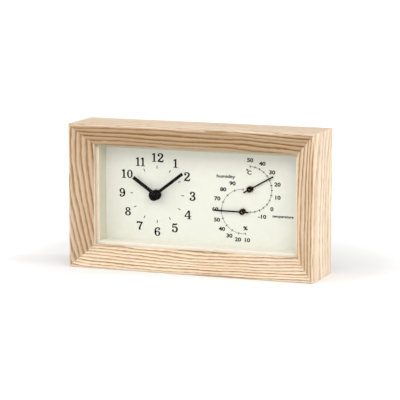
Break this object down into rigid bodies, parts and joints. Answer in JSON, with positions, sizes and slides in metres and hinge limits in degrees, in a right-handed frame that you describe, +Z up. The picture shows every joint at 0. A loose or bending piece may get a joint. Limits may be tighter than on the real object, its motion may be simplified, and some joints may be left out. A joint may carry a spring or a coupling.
{
  "type": "home weather station",
  "caption": "Mitred ash box standing on its base, with a glazed ivory dial: an analogue clock beside a round thermometer and a round hygrometer, run by a battery movement.",
  "frame": {"origin": "middle of the underside of the wooden box", "axes": "+X to the right along the width as seen from the front, +Y from the dial towards the back panel, +Z up"},
  "size_m": [0.206, 0.047, 0.116],
  "materials": {
    "ash_wood": "oiled, open grain",
    "glass": "clear",
    "cream_strip": "matt",
    "dial_face": "matt, printed",
    "hand_black": "satin",
    "sensor_brass": "satin",
    "arbor_steel": "turned",
    "bimetal": "rolled strip",
    "humidity_strip": "coated strip",
    "movement_black": "moulded",
    "foam_pad": "closed-cell foam",
    "wheel_acetal": "moulded acetal",
    "magnet": "sintered",
    "stator_iron": "stamped",
    "copper_wire": "enamelled winding",
    "board_green": "solder mask",
    "crystal_can": "polished can",
    "contact_steel": "nickel plated strip",
    "cell_sleeve": "printed-free sleeve, plain bands",
    "back_board": "hardboard",
    "block_pine": "sawn",
    "screw_brass": "bright"
  },
  "bodies": {
    "case": {"frame_top_rail": "ash_wood", "frame_bottom_rail": "ash_wood", "frame_left_stile": "ash_wood", "frame_right_stile": "ash_wood", "glass_pane": "glass", "spacer_top": "cream_strip", "spacer_bottom": "cream_strip", "spacer_left": "cream_strip", "spacer_right": "cream_strip", "dial_plate": "dial_face", "corner_blocks": "block_pine", "movement_pad": "foam_pad", "movement_front_case": "movement_black", "movement_rear_case": "movement_black", "train_rear_plate": "wheel_acetal", "stator": "stator_iron", "coil_core": "stator_iron", "coil_winding": "copper_wire", "circuit_board": "board_green", "quartz_crystal": "crystal_can", "contact_positive": "contact_steel", "contact_negative": "contact_steel", "back_panel": "back_board", "back_panel_screws": "screw_brass", "thermometer_plate": "sensor_brass", "thermometer_bush": "sensor_brass", "thermometer_coil": "bimetal", "thermometer_post": "sensor_brass", "hygrometer_plate": "sensor_brass", "hygrometer_bush": "sensor_brass", "hygrometer_coil": "humidity_strip", "hygrometer_post": "sensor_brass"},
    "minute_hand_set": {"minute_arbor": "arbor_steel", "minute_hand": "hand_black", "clutch_spring": "contact_steel"},
    "hour_hand_set": {"hour_wheel": "wheel_acetal", "hour_hand": "hand_black"},
    "motion_wheel": {"minute_wheel": "wheel_acetal"},
    "setting_knob_set": {"setting_arbor": "arbor_steel", "setting_knob": "movement_black"},
    "rotor": {"rotor_pinion": "wheel_acetal", "rotor_magnet": "magnet"},
    "fifth_wheel_set": {"fifth_wheel": "wheel_acetal"},
    "seconds_wheel_set": {"seconds_wheel": "wheel_acetal"},
    "third_wheel_set": {"third_wheel": "wheel_acetal"},
    "centre_wheel_set": {"centre_wheel": "wheel_acetal"},
    "thermometer_needle": {"thermometer_arbor": "arbor_steel", "thermometer_pointer": "hand_black"},
    "hygrometer_needle": {"hygrometer_arbor": "arbor_steel", "hygrometer_pointer": "hand_black"},
    "battery": {"aa_battery": "cell_sleeve"}
  },
  "joints": [
    {"name": "minute_hand_turn", "type": "hinge", "parent": "case", "child": "minute_hand_set", "pos_m": [-0.0388, 0, 0.058], "axis": [0, 1, 0], "continuous": true},
    {"name": "hour_hand_turn", "type": "hinge", "parent": "case", "child": "hour_hand_set", "pos_m": [-0.0388, 0, 0.058], "axis": [0, 1, 0], "continuous": true},
    {"name": "motion_wheel_turn", "type": "hinge", "parent": "case", "child": "motion_wheel", "pos_m": [-0.04561, 0, 0.05552], "axis": [0, 1, 0], "continuous": true},
    {"name": "setting_knob_turn", "type": "hinge", "parent": "case", "child": "setting_knob_set", "pos_m": [-0.05188, 0, 0.05915], "axis": [0, 1, 0], "continuous": true},
    {"name": "rotor_turn", "type": "hinge", "parent": "case", "child": "rotor", "pos_m": [-0.02684, 0, 0.07694], "axis": [0, 1, 0], "continuous": true},
    {"name": "fifth_wheel_turn", "type": "hinge", "parent": "case", "child": "fifth_wheel_set", "pos_m": [-0.02403, 0, 0.07206], "axis": [0, 1, 0], "continuous": true},
    {"name": "seconds_wheel_turn", "type": "hinge", "parent": "case", "child": "seconds_wheel_set", "pos_m": [-0.02559, 0, 0.06623], "axis": [0, 1, 0], "continuous": true},
    {"name": "third_wheel_turn", "type": "hinge", "parent": "case", "child": "third_wheel_set", "pos_m": [-0.03299, 0, 0.06492], "axis": [0, 1, 0], "continuous": true},
    {"name": "centre_wheel_turn", "type": "hinge", "parent": "case", "child": "centre_wheel_set", "pos_m": [-0.0388, 0, 0.058], "axis": [0, 1, 0], "continuous": true},
    {"name": "thermometer_turn", "type": "hinge", "parent": "case", "child": "thermometer_needle", "pos_m": [0.0404, 0, 0.0663], "axis": [0, 1, 0], "range_deg": [-60.4, 119.6], "stiffness_Nm_per_rad": 0.0001},
    {"name": "hygrometer_turn", "type": "hinge", "parent": "case", "child": "hygrometer_needle", "pos_m": [0.0342, 0, 0.04805], "axis": [0, 1, 0], "range_deg": [-98.8, 90.9], "stiffness_Nm_per_rad": 0.0001},
    {"name": "battery_slide", "type": "slide", "parent": "case", "child": "battery", "axis": [0, 1, 0], "range_m": [0, 0.016]}
  ],
  "couplings": [
    {"joint": "hour_hand_turn", "follows": "minute_hand_turn", "ratio": 0.083333},
    {"joint": "motion_wheel_turn", "follows": "minute_hand_turn", "ratio": -0.33333},
    {"joint": "setting_knob_turn", "follows": "minute_hand_turn", "ratio": 1},
    {"joint": "fifth_wheel_turn", "follows": "rotor_turn", "ratio": -0.16667},
    {"joint": "seconds_wheel_turn", "follows": "rotor_turn", "ratio": 0.033333},
    {"joint": "third_wheel_turn", "follows": "rotor_turn", "ratio": -0.0044444},
    {"joint": "centre_wheel_turn", "follows": "rotor_turn", "ratio": 0.00055556}
  ]
}
